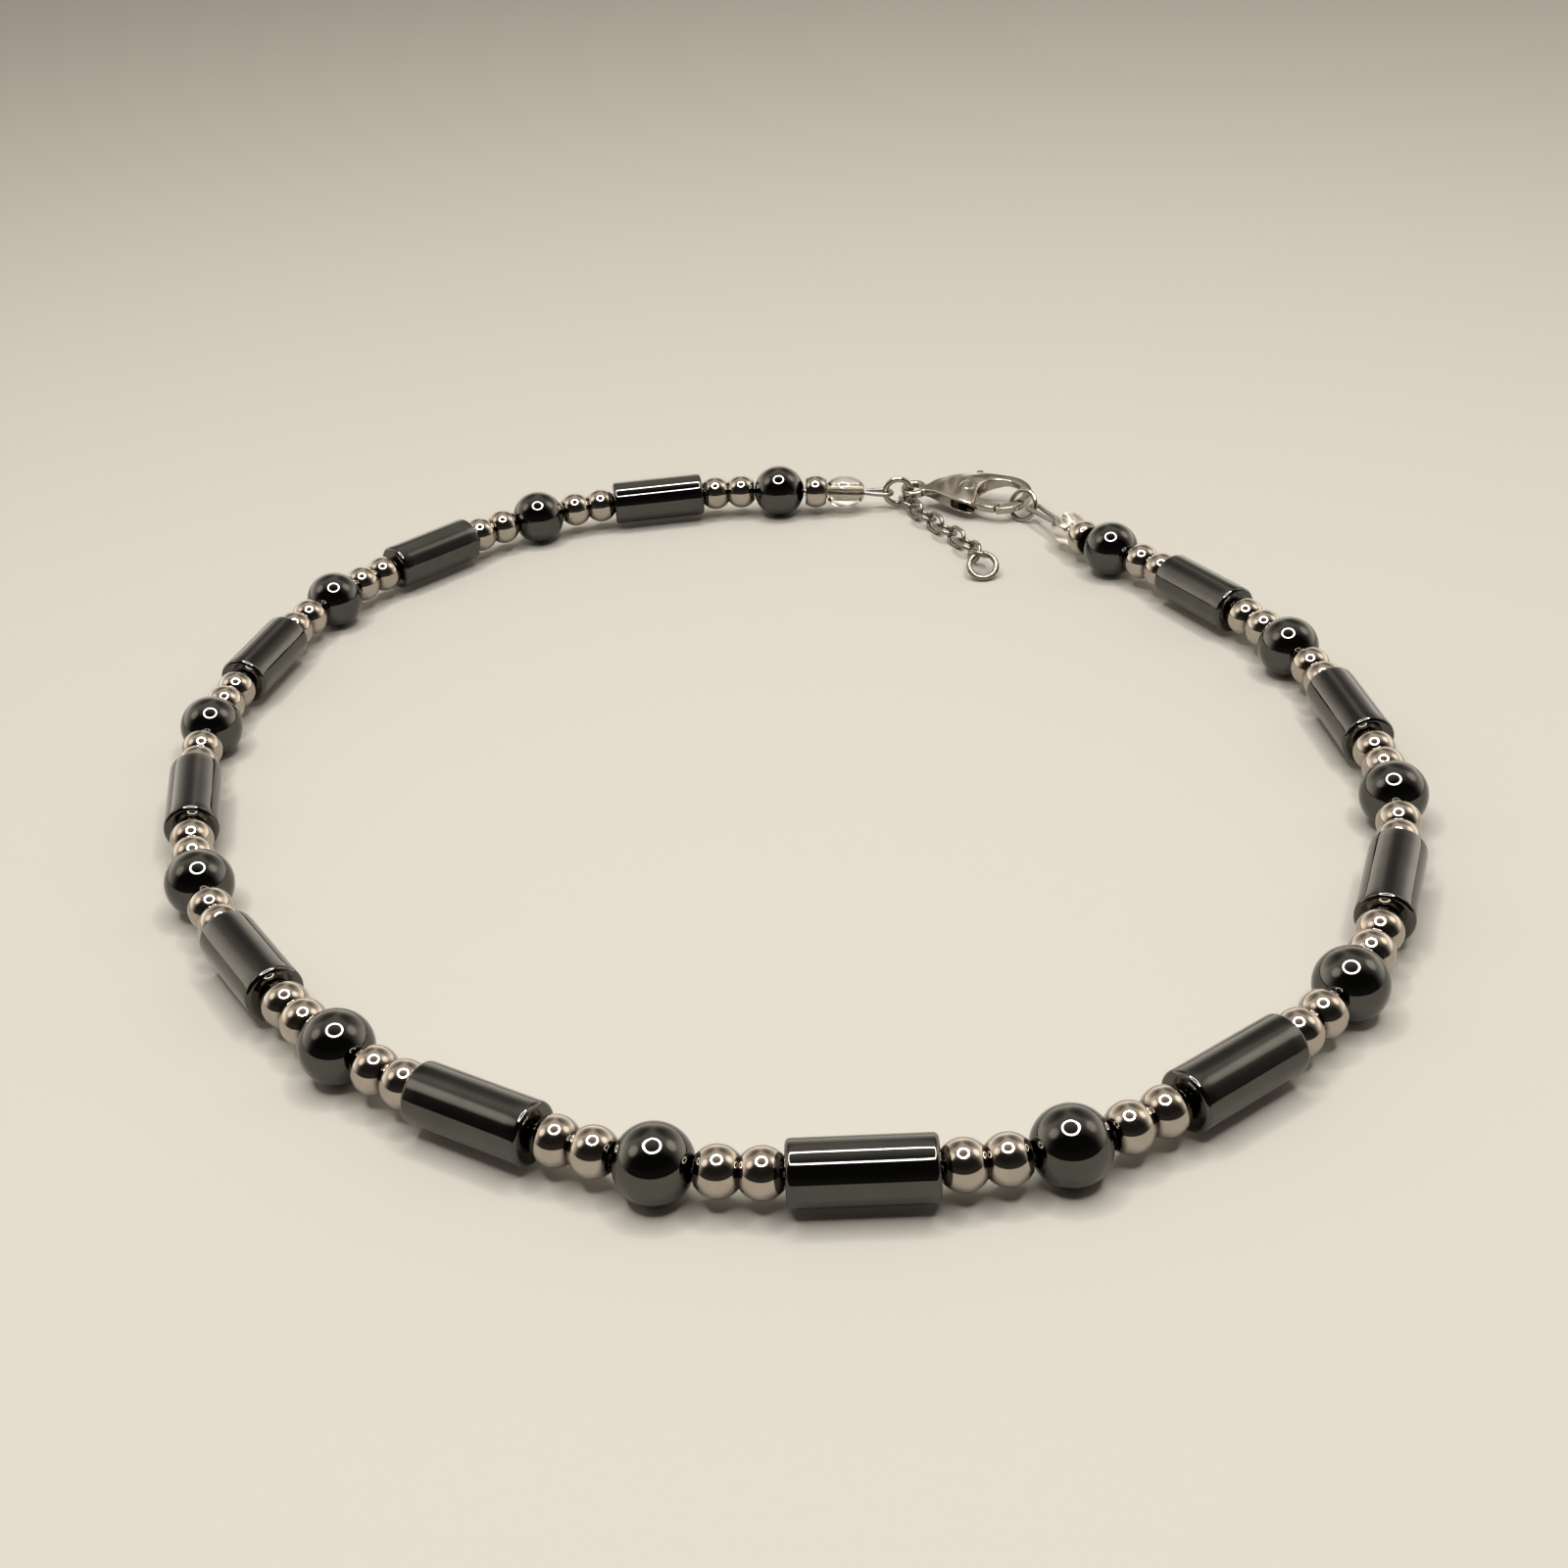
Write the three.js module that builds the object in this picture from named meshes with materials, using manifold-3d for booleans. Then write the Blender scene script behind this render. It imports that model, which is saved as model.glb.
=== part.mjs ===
// Beaded anklet lying closed on a flat surface, in millimetres, with +Z up
import * as THREE from 'three'
import { TessellateModifier } from 'three/addons/modifiers/TessellateModifier.js'
import { mergeVertices } from 'three/addons/utils/BufferGeometryUtils.js'
import Module from 'manifold-3d'

const wasm = await Module()
wasm.setup()

// Beads
const ROUND_DIAMETER = 4.2
const TUBE_DIAMETER = 3.44
const TUBE_LENGTH = 7.4
const TUBE_EDGE_RADIUS = 0.28
const SPACER_DIAMETER = 2.7
const SPACER_LENGTH = 2.18
const SPACER_LIP_RADIUS = 0.55
const SPACER_LIP_LENGTH = 0.1
const END_SPACER_LENGTH = 1.7
const CLEAR_DIAMETER = 2.66
const CLEAR_LENGTH = 3.1
const BORE_RADIUS = 0.4
const CLEAR_BORE_RADIUS = 0.54
const CLEAR_LIP = 0.08
const BEAD_GAP = 0.09
const END_GAP = 0.15
const TUBE_COUNT = 11

// Outline of the closed strand, an ellipse turned a little to the left
const HALF_WIDTH = 37.42
const HALF_DEPTH = 44.3
const OUTLINE_TURN = 22.2
const OUTLINE_START = 58.3
const PAIR_LEAN = 0.32
const THREAD_HEIGHT = ROUND_DIAMETER / 2

// Beading wire, with a crimped loop at each end
const WIRE_RADIUS = 0.19
const CRIMP_RADIUS = 0.43
const CRIMP_INSET = 0.15
const LOOP_RADIUS = 0.55
const LOOP_TAIL = 0.5
const STRAND_SIDE = 0.21
const LEFT_LOOP_REACH = 1.85
const END_SLOPE = 5
const LEFT_END_HEADING = 0.5

// Rings
const JUMP_RING = { radius: 1.1, wire: 0.25 }
const CLASP_RING = { radius: 1.2, wire: 0.2 }
const END_RING = { radius: 1.05, wire: 0.23 }

// Lobster clasp, drawn flat with its eye at the origin and its hook along +X
const CLASP_HEADING = -17
const CLASP_TILT = 10
const CLASP_RISE = 0.06
const EYE_RADIUS = 1.1
const EYE_HOLE_RADIUS = 0.6
const EYE_PLAY = 0.1
const EYE_HALF_THICKNESS = 0.36
const BODY_SWELL = 0.7
const HOOK_TAPER = 0.66
const HOOK_CENTRE = 7.45
const HOOK_OUTER_RADIUS = 2.55
const HOOK_INNER_RADIUS = 1.78
const PIVOT = new THREE.Vector2(4.6, -0.1)
const PIVOT_RADIUS = 0.34
const PIVOT_PLAY = 0.08
const RIVET_RADIUS = 0.6
const GATE_REACH = 3.57
const GATE_CLEARANCE = 0.1
const LEVER_THICKNESS = 0.64
const SLOT_THICKNESS = 0.78
const SLOT_LENGTH = 2.5
const SLOT_CENTRE = 4.75
const CLASP_RING_AT = new THREE.Vector3(9.49, -1.4, -0.01)
const CLASP_RING_HEADING = -45
const CLASP_RING_RISE = 65

// Extender chain, a tube along the route of its fine links
const CHAIN_RADIUS = 0.55
const CHAIN_ROUTE = [
  [0.0, -0.62], [0.75, -2.0], [1.75, -3.8], [2.75, -5.85],
  [3.65, -7.8], [4.55, -9.7], [5.25, -11.6], [5.5, -13.3],
]
const END_RING_AT = [5.45, -14.75]
const END_RING_LEAN = 40
const SURFACE_GAP = 0.03

const HEMATITE = new THREE.MeshStandardMaterial({ color: 0x3b3836, roughness: 0.06, metalness: 1 })
const SILVER = new THREE.MeshStandardMaterial({ color: 0xc9c2b8, roughness: 0.07, metalness: 1 })
const WIRE = new THREE.MeshStandardMaterial({ color: 0x77746e, roughness: 0.35, metalness: 1 })
const CLEAR = new THREE.MeshStandardMaterial({ color: 0xefeadf, roughness: 0.05, metalness: 0 })
const PLATED = new THREE.MeshStandardMaterial({ color: 0xb8afa3, roughness: 0.16, metalness: 1 })

function radians(degrees) {
  return THREE.MathUtils.degToRad(degrees)
}

function named(name, geometry, material) {
  const mesh = new THREE.Mesh(geometry, material.clone())
  mesh.name = name
  return mesh
}

// Points of a circle's arc in the half plane that a lathe turns
function arcPoints(centreAlong, radius, fromAlong, toAlong, count) {
  const points = []
  const start = Math.acos(THREE.MathUtils.clamp((fromAlong - centreAlong) / radius, -1, 1))
  const end = Math.acos(THREE.MathUtils.clamp((toAlong - centreAlong) / radius, -1, 1))
  for (let i = 0; i <= count; i += 1) {
    const angle = THREE.MathUtils.lerp(start, end, i / count)
    points.push(new THREE.Vector2(radius * Math.sin(angle), centreAlong + radius * Math.cos(angle)))
  }
  return points
}

// A profile closed on itself and turned, its axis laid along X
function lathed(profile, segments) {
  const geometry = new THREE.LatheGeometry([...profile, profile[0].clone()], segments)
  geometry.rotateZ(-Math.PI / 2)
  return geometry
}

// A turned solid with flat ends and a bore
function turned(outer, boreRadius, segments) {
  const first = outer[0]
  const last = outer[outer.length - 1]
  const start = new THREE.Vector2(boreRadius, first.y)
  const end = new THREE.Vector2(boreRadius, last.y)
  return lathed([start, ...outer, end], segments)
}

function roundBead() {
  const radius = ROUND_DIAMETER / 2
  const end = Math.sqrt(radius * radius - BORE_RADIUS * BORE_RADIUS)
  return lathed(arcPoints(0, radius, -end, end, 8), 16)
}

function tubeBead() {
  const half = TUBE_LENGTH / 2
  const radius = TUBE_DIAMETER / 2
  const edge = TUBE_EDGE_RADIUS
  const outer = []
  for (let i = 0; i <= 2; i += 1) {
    const angle = (i / 2) * (Math.PI / 2)
    const across = radius - edge + edge * Math.sin(angle)
    outer.push(new THREE.Vector2(across, -half + edge - edge * Math.cos(angle)))
  }
  for (let i = 2; i >= 0; i -= 1) {
    outer.push(new THREE.Vector2(outer[i].x, -outer[i].y))
  }
  return turned(outer, BORE_RADIUS, 16)
}

// One or two silver beads, joined end to end along X
function spacerBeads(count, length) {
  const outer = []
  const shoulder = length / 2 - SPACER_LIP_LENGTH
  for (let i = 0; i < count; i += 1) {
    const centre = (i - (count - 1) / 2) * length
    if (i === 0) {
      outer.push(new THREE.Vector2(SPACER_LIP_RADIUS, centre - length / 2))
    }
    outer.push(...arcPoints(centre, SPACER_DIAMETER / 2, centre - shoulder, centre + shoulder, 3))
    outer.push(new THREE.Vector2(SPACER_LIP_RADIUS, centre + length / 2))
  }
  return turned(outer, BORE_RADIUS, 12)
}

function clearBead() {
  const outer = []
  const steps = 6
  const end = Math.acos((CLEAR_BORE_RADIUS + CLEAR_LIP) / (CLEAR_DIAMETER / 2))
  for (let i = 0; i <= steps; i += 1) {
    const angle = THREE.MathUtils.lerp(-end, end, i / steps)
    const along = (Math.sin(angle) / Math.sin(end)) * (CLEAR_LENGTH / 2)
    outer.push(new THREE.Vector2((CLEAR_DIAMETER / 2) * Math.cos(angle), along))
  }
  return turned(outer, CLEAR_BORE_RADIUS, 16)
}

// Every bead of the strand with its centre and heading, laid link by link along the outline
function layStrand() {
  const start = radians(OUTLINE_START)
  const turn = radians(OUTLINE_TURN)
  const outline = new THREE.EllipseCurve(0, 0, HALF_WIDTH, HALF_DEPTH, start, start + 2 * Math.PI, false, turn)
  outline.arcLengthDivisions = 2000
  const total = outline.getLength()
  const roundLink = 2 * Math.sqrt((ROUND_DIAMETER / 2) ** 2 - BORE_RADIUS ** 2) + BEAD_GAP
  const pairLink = 2 * SPACER_LENGTH + BEAD_GAP
  const tubeLink = TUBE_LENGTH + BEAD_GAP
  const links = [{ kind: 'round', length: roundLink }]
  for (let i = 0; i < TUBE_COUNT; i += 1) {
    links.push({ kind: 'pair', length: pairLink, tubeAhead: true })
    links.push({ kind: 'tube', length: tubeLink })
    links.push({ kind: 'pair', length: pairLink, tubeAhead: false })
    links.push({ kind: 'round', length: roundLink })
  }
  const joint = outline.getPointAt(0)
  const joints = [joint.clone()]
  let travelled = 0
  for (const link of links) {
    let along = travelled + link.length / 2
    if (link.kind === 'pair') {
      const toTube = (pairLink + tubeLink) / 2
      along += PAIR_LEAN * (link.tubeAhead ? toTube : -toTube)
    }
    const tangent = outline.getTangentAt(THREE.MathUtils.clamp(along / total, 0, 1))
    link.heading = tangent.angle()
    link.centre = joint.clone().addScaledVector(tangent, link.length / 2)
    joint.addScaledVector(tangent, link.length)
    joints.push(joint.clone())
    travelled += link.length
  }
  return { links, joints }
}

const strand = layStrand()
const anklet = new THREE.Group()

function number(index) {
  return String(index).padStart(2, '0')
}

// Beads of the strand, each in its place
const counts = { round: 0, pair: 0, tube: 0 }
for (const link of strand.links) {
  counts[link.kind] += 1
  let bead
  if (link.kind === 'round') {
    bead = named(`round_bead_${number(counts.round)}`, roundBead(), HEMATITE)
  } else if (link.kind === 'tube') {
    bead = named(`tube_bead_${number(counts.tube)}`, tubeBead(), HEMATITE)
  } else {
    bead = named(`spacer_pair_${number(counts.pair)}`, spacerBeads(2, SPACER_LENGTH), SILVER)
  }
  bead.position.set(link.centre.x, link.centre.y, THREAD_HEIGHT)
  bead.rotation.z = link.heading
  anklet.add(bead)
}

// A group at a point of the thread, its X axis running outward along the strand's end and a little down
function endFrame(point, heading, slope) {
  const frame = new THREE.Group()
  frame.position.copy(point)
  frame.rotation.order = 'ZYX'
  frame.rotation.z = heading
  frame.rotation.y = slope
  frame.updateMatrixWorld(true)
  return frame
}

function onThread(point) {
  return new THREE.Vector3(point.x, point.y, THREAD_HEIGHT)
}

// Left end, which holds the jump ring, the clasp's eye and the extender
const leftJoint = onThread(strand.joints[0])
const leftEnd = endFrame(leftJoint, radians(LEFT_END_HEADING), radians(END_SLOPE))
const clearStart = END_GAP + END_SPACER_LENGTH + BEAD_GAP
const clearEnd = clearStart + CLEAR_LENGTH
const ringOffset = clearEnd + LEFT_LOOP_REACH + JUMP_RING.radius
const leftRingCentre = new THREE.Vector3(ringOffset, 0, 0)
leftRingCentre.applyMatrix4(leftEnd.matrixWorld)
leftRingCentre.z = leftJoint.z - (clearEnd + LEFT_LOOP_REACH) * Math.sin(radians(END_SLOPE))

// Clasp, hung by its eye on the jump ring and tilted towards the front
const eyeOffset = JUMP_RING.radius - JUMP_RING.wire - EYE_PLAY + EYE_HOLE_RADIUS
const leftHeading = radians(LEFT_END_HEADING)
const leftDirection = new THREE.Vector3(Math.cos(leftHeading), Math.sin(leftHeading), 0)
const clasp = new THREE.Group()
clasp.position.copy(leftRingCentre).addScaledVector(leftDirection, eyeOffset)
clasp.position.z += CLASP_RISE
clasp.rotation.order = 'ZYX'
clasp.rotation.z = radians(CLASP_HEADING)
clasp.rotation.x = radians(CLASP_TILT)
anklet.add(clasp)
clasp.updateMatrixWorld(true)

function ringGeometry(ring) {
  return new THREE.TorusGeometry(ring.radius, ring.wire, 8, 28)
}

// A ring whose plane holds the heading and rises from the surface by an angle
function standingRing(name, ring, centre, heading, rise) {
  const mesh = named(name, ringGeometry(ring), PLATED)
  mesh.position.copy(centre)
  mesh.rotation.order = 'ZYX'
  mesh.rotation.z = heading
  mesh.rotation.x = rise
  return mesh
}

anklet.add(standingRing('jump_ring', JUMP_RING, leftRingCentre, leftHeading, Math.PI / 2))

// The ring that the hook holds, leaning on the hook
const claspRingCentre = CLASP_RING_AT.clone().applyMatrix4(clasp.matrixWorld)
const ringHeading = radians(CLASP_RING_HEADING)
anklet.add(standingRing('clasp_ring', CLASP_RING, claspRingCentre, ringHeading, radians(CLASP_RING_RISE)))

// Right end, which runs from the last spacer to the ring in the hook
const rightJoint = onThread(strand.joints[strand.joints.length - 1])
const ringEdge = new THREE.Vector3(Math.cos(ringHeading), Math.sin(ringHeading), 0)
ringEdge.multiplyScalar(CLASP_RING.radius).add(claspRingCentre)
const toRing = ringEdge.clone().sub(rightJoint)
const rightHeading = Math.atan2(toRing.y, toRing.x)
const rightSlope = Math.atan2(-toRing.z, Math.hypot(toRing.x, toRing.y))
const rightEnd = endFrame(rightJoint, rightHeading, rightSlope)
const rightReach = toRing.length() - clearEnd

function endBead(bead, along, frame) {
  bead.position.set(along, 0, 0)
  bead.position.applyMatrix4(frame.matrixWorld)
  bead.quaternion.setFromRotationMatrix(frame.matrixWorld)
  return bead
}

const spacerAlong = END_GAP + END_SPACER_LENGTH / 2
const clearAlong = clearStart + CLEAR_LENGTH / 2
for (const [side, frame] of [['left', leftEnd], ['right', rightEnd]]) {
  const spacer = named(`end_spacer_${side}`, spacerBeads(1, END_SPACER_LENGTH), SILVER)
  const clear = named(`clear_end_bead_${side}`, clearBead(), CLEAR)
  anklet.add(endBead(spacer, spacerAlong, frame))
  anklet.add(endBead(clear, clearAlong, frame))
}

// A round tube along a curve
function tubeAlong(curve, radius, steps) {
  const section = new THREE.Shape()
  section.absarc(0, 0, radius, 0, 2 * Math.PI, false)
  return new THREE.ExtrudeGeometry(section, { steps, extrudePath: curve, curveSegments: 4 })
}

function toManifold(geometry, matrix) {
  const plain = geometry.clone()
  plain.deleteAttribute('normal')
  plain.deleteAttribute('uv')
  if (matrix) {
    plain.applyMatrix4(matrix)
  }
  const merged = mergeVertices(plain, 1e-4)
  const vertProperties = new Float32Array(merged.attributes.position.array)
  const triVerts = new Uint32Array(merged.index.array)
  return new wasm.Manifold(new wasm.Mesh({ numProp: 3, vertProperties, triVerts }))
}

function fromManifold(solid) {
  const mesh = solid.getMesh()
  const geometry = new THREE.BufferGeometry()
  geometry.setAttribute('position', new THREE.BufferAttribute(new Float32Array(mesh.vertProperties), 3))
  geometry.setIndex(new THREE.BufferAttribute(new Uint32Array(mesh.triVerts), 1))
  geometry.computeVertexNormals()
  return geometry
}

// The loop at a strand's end, in the end's own frame, round a ring's wire at the given reach
function loopCurve(reach) {
  const start = clearEnd - LOOP_TAIL
  const mouth = clearEnd + 0.1
  const centre = clearEnd + reach
  const shoulder = centre - 1.55 * LOOP_RADIUS
  const shoulderSide = 0.76 * LOOP_RADIUS
  const points = [
    new THREE.Vector3(start, -STRAND_SIDE, 0),
    new THREE.Vector3(mouth, -STRAND_SIDE, 0),
    new THREE.Vector3(shoulder, -shoulderSide, 0),
  ]
  for (let degrees = -90; degrees <= 90; degrees += 30) {
    const angle = radians(degrees)
    points.push(new THREE.Vector3(centre + LOOP_RADIUS * Math.cos(angle), LOOP_RADIUS * Math.sin(angle), 0))
  }
  points.push(new THREE.Vector3(shoulder, shoulderSide, 0))
  points.push(new THREE.Vector3(mouth, STRAND_SIDE, 0))
  points.push(new THREE.Vector3(start, STRAND_SIDE, 0))
  return new THREE.CatmullRomCurve3(points, false, 'centripetal')
}

function crimp() {
  const length = CLEAR_LENGTH - 2 * CRIMP_INSET
  const geometry = new THREE.CylinderGeometry(CRIMP_RADIUS, CRIMP_RADIUS, length, 12)
  geometry.rotateZ(-Math.PI / 2)
  geometry.translate(clearAlong, 0, 0)
  return geometry
}

// The wire through every bead, with its crimps and its two end loops
function beadingWire() {
  const route = [new THREE.Vector3(clearAlong, 0, 0).applyMatrix4(leftEnd.matrixWorld)]
  for (const joint of strand.joints) {
    route.push(onThread(joint))
  }
  route.push(new THREE.Vector3(clearAlong, 0, 0).applyMatrix4(rightEnd.matrixWorld))
  const curve = new THREE.CatmullRomCurve3(route, false, 'centripetal')
  let solid = toManifold(tubeAlong(curve, WIRE_RADIUS, 84))
  for (const [frame, reach] of [[leftEnd, LEFT_LOOP_REACH], [rightEnd, rightReach]]) {
    solid = solid.add(toManifold(crimp(), frame.matrixWorld))
    solid = solid.add(toManifold(tubeAlong(loopCurve(reach), WIRE_RADIUS, 26), frame.matrixWorld))
  }
  return fromManifold(solid)
}

anklet.add(named('beading_wire', beadingWire(), WIRE))

// Half the clasp's thickness at a distance from its eye
function claspHalfThickness(along) {
  const swell = THREE.MathUtils.smoothstep(along, 0.7, 3.6)
  const taper = THREE.MathUtils.smoothstep(along, 5.2, 7.9)
  return EYE_HALF_THICKNESS + BODY_SWELL * swell - HOOK_TAPER * taper
}

// A shape's outline with its doubled points left out
function cleaned(shape, divisions) {
  const tidy = (points) => points.filter((point, i) => {
    const next = points[(i + 1) % points.length]
    return point.distanceTo(next) > 0.03
  })
  const drawn = shape.extractPoints(divisions)
  const outline = new THREE.Shape(tidy(drawn.shape))
  outline.holes = drawn.holes.map((hole) => new THREE.Path(tidy(hole)))
  return outline
}

function claspOutline() {
  const shape = new THREE.Shape()
  const tipReach = GATE_REACH + GATE_CLEARANCE
  const eyeAngle = radians(27)
  const neck = new THREE.Vector2(EYE_RADIUS * Math.cos(eyeAngle), EYE_RADIUS * Math.sin(eyeAngle))
  const tip = hookTip(tipReach)
  shape.moveTo(neck.x, -neck.y)
  shape.bezierCurveTo(2.2, -0.75, 3.6, -2.25, 5.3, -2.44)
  shape.bezierCurveTo(5.85, -2.2, 5.25, -0.4, 5.6, 0.45)
  shape.bezierCurveTo(5.95, 1.3, 6.6, HOOK_INNER_RADIUS, HOOK_CENTRE, HOOK_INNER_RADIUS)
  shape.absarc(HOOK_CENTRE, 0, HOOK_INNER_RADIUS, Math.PI / 2, tip.innerAngle, true)
  const middle = (tip.innerFromPivot + tip.outerFromPivot) / 2
  shape.lineTo(PIVOT.x + tipReach * Math.cos(middle), PIVOT.y + tipReach * Math.sin(middle))
  shape.absarc(HOOK_CENTRE, 0, HOOK_OUTER_RADIUS, tip.outerAngle, Math.PI / 2, false)
  shape.bezierCurveTo(6.1, HOOK_OUTER_RADIUS, 3.0, 2.45, neck.x, neck.y)
  shape.absarc(0, 0, EYE_RADIUS, eyeAngle, 2 * Math.PI - eyeAngle, false)
  const hole = new THREE.Path()
  hole.absarc(0, 0, EYE_HOLE_RADIUS, 0, 2 * Math.PI, true)
  shape.holes.push(hole)
  return cleaned(shape, 8)
}

// Where a circle round the pivot crosses the hook's two edges
function hookTip(reach) {
  const crossing = (radius) => {
    const pivotFromHook = new THREE.Vector2(PIVOT.x - HOOK_CENTRE, PIVOT.y)
    const distance = pivotFromHook.length()
    const cosine = (radius ** 2 + distance ** 2 - reach ** 2) / (2 * radius * distance)
    const angle = pivotFromHook.angle() + Math.acos(cosine)
    const x = HOOK_CENTRE + radius * Math.cos(angle) - PIVOT.x
    const y = radius * Math.sin(angle) - PIVOT.y
    return { angle: angle - 2 * Math.PI, fromPivot: Math.atan2(y, x) }
  }
  const inner = crossing(HOOK_INNER_RADIUS)
  const outer = crossing(HOOK_OUTER_RADIUS)
  return {
    innerAngle: inner.angle,
    innerFromPivot: inner.fromPivot,
    outerAngle: outer.angle,
    outerFromPivot: outer.fromPivot,
  }
}

// The clasp's one-piece body, with a slot for the lever and the lever's rivet
function claspBody() {
  const bevel = 0.2
  const inset = 0.16
  const flat = new THREE.ExtrudeGeometry(claspOutline(), {
    depth: 2 * (1 - bevel),
    bevelEnabled: true,
    bevelThickness: bevel,
    bevelSize: inset,
    bevelOffset: -inset,
    bevelSegments: 2,
  })
  flat.translate(0, 0, bevel - 1)
  const longestEdge = 1.1
  const rounds = 14
  const body = new TessellateModifier(longestEdge, rounds).modify(flat)
  const position = body.attributes.position
  for (let i = 0; i < position.count; i += 1) {
    position.setZ(i, position.getZ(i) * claspHalfThickness(position.getX(i)))
  }
  let solid = toManifold(body)
  const slot = new THREE.BoxGeometry(SLOT_LENGTH, 3 * HOOK_OUTER_RADIUS, SLOT_THICKNESS)
  slot.translate(SLOT_CENTRE, 0, 0)
  solid = solid.subtract(toManifold(slot))
  solid = solid.add(toManifold(pivotCylinder(PIVOT_RADIUS, 1.6, 0)))
  for (const side of [-1, 1]) {
    solid = solid.add(toManifold(pivotCylinder(RIVET_RADIUS, 0.5, side * 0.9)))
  }
  return fromManifold(solid)
}

// A round pin on the lever's pivot, its middle at a height in the clasp's frame
function pivotCylinder(radius, length, height) {
  const pin = new THREE.CylinderGeometry(radius, radius, length, 16)
  pin.rotateX(Math.PI / 2)
  pin.translate(PIVOT.x, PIVOT.y, height)
  return pin
}

// The sprung lever: a gate that closes the hook, a hub on the rivet and a thumb tab
function claspLever() {
  const shape = new THREE.Shape()
  const tip = hookTip(GATE_REACH)
  const onTip = (angle) => {
    const reach = new THREE.Vector2(GATE_REACH * Math.cos(angle), GATE_REACH * Math.sin(angle))
    return reach.add(PIVOT)
  }
  const outer = onTip(tip.outerFromPivot)
  const middle = onTip((tip.outerFromPivot + tip.innerFromPivot) / 2)
  const inner = onTip(tip.innerFromPivot - 0.02)
  shape.moveTo(PIVOT.x - 0.45, PIVOT.y - 0.7)
  shape.bezierCurveTo(4.7, -1.6, 5.6, -2.35, outer.x, outer.y)
  shape.lineTo(middle.x, middle.y)
  shape.lineTo(inner.x, inner.y)
  shape.bezierCurveTo(6.7, -1.85, 5.7, -1.3, PIVOT.x + 0.8, PIVOT.y)
  shape.lineTo(PIVOT.x + 0.7, PIVOT.y + 0.6)
  shape.lineTo(PIVOT.x + 0.85, 2.9)
  shape.bezierCurveTo(PIVOT.x + 0.9, 3.25, PIVOT.x + 0.25, 3.3, PIVOT.x + 0.2, 2.95)
  shape.lineTo(PIVOT.x - 0.1, PIVOT.y + 0.85)
  shape.bezierCurveTo(PIVOT.x - 1.0, PIVOT.y + 0.7, PIVOT.x - 0.9, PIVOT.y - 0.4, PIVOT.x - 0.45, PIVOT.y - 0.7)
  const hole = new THREE.Path()
  hole.absarc(PIVOT.x, PIVOT.y, PIVOT_RADIUS + PIVOT_PLAY, 0, 2 * Math.PI, true)
  shape.holes.push(hole)
  const bevel = 0.08
  const geometry = new THREE.ExtrudeGeometry(cleaned(shape, 6), {
    depth: LEVER_THICKNESS - 2 * bevel,
    bevelEnabled: true,
    bevelThickness: bevel,
    bevelSize: bevel,
    bevelOffset: -bevel,
    bevelSegments: 1,
  })
  geometry.translate(0, 0, bevel - LEVER_THICKNESS / 2)
  return geometry
}

clasp.add(named('clasp_body', claspBody(), PLATED))
clasp.add(named('clasp_lever', claspLever(), PLATED))

// Extender chain lying on the surface from the jump ring to its end ring
function extenderChain() {
  const height = CHAIN_RADIUS + SURFACE_GAP
  const points = CHAIN_ROUTE.map(([x, y]) => {
    return new THREE.Vector3(leftRingCentre.x + x, leftRingCentre.y + y, height)
  })
  return tubeAlong(new THREE.CatmullRomCurve3(points, false, 'centripetal'), CHAIN_RADIUS, 14)
}

function extenderEndRing() {
  const ring = named('extender_end_ring', ringGeometry(END_RING), PLATED)
  const lean = radians(END_RING_LEAN)
  const height = END_RING.wire + END_RING.radius * Math.sin(lean) + SURFACE_GAP
  ring.position.set(leftRingCentre.x + END_RING_AT[0], leftRingCentre.y + END_RING_AT[1], height)
  ring.rotation.x = lean
  return ring
}

anklet.add(named('extender_chain', extenderChain(), PLATED))
anklet.add(extenderEndRing())

// Stand the finished loop on the origin, centred under its box
anklet.updateMatrixWorld(true)
const box = new THREE.Box3().setFromObject(anklet, true)
anklet.position.set(-(box.min.x + box.max.x) / 2, -(box.min.y + box.max.y) / 2, -box.min.z)

export default anklet
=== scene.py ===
"""A beaded anklet on a plain pale floor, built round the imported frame."""

import math
import random

import bmesh
import bpy
import numpy as np
from mathutils import Matrix, Vector, kdtree


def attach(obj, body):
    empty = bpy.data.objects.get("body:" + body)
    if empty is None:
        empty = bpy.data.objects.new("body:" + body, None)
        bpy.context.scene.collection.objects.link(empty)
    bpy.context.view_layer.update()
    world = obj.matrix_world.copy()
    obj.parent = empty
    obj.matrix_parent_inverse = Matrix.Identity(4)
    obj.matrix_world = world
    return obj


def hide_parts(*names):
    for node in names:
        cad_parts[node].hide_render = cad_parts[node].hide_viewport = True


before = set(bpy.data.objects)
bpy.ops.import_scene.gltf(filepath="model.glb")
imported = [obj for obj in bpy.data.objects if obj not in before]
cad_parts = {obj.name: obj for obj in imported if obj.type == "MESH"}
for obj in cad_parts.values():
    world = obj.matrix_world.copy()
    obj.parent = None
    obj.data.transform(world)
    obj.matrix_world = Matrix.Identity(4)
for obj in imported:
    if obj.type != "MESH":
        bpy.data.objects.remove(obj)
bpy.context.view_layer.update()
rng = random.Random(7)

MM = 0.001

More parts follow.
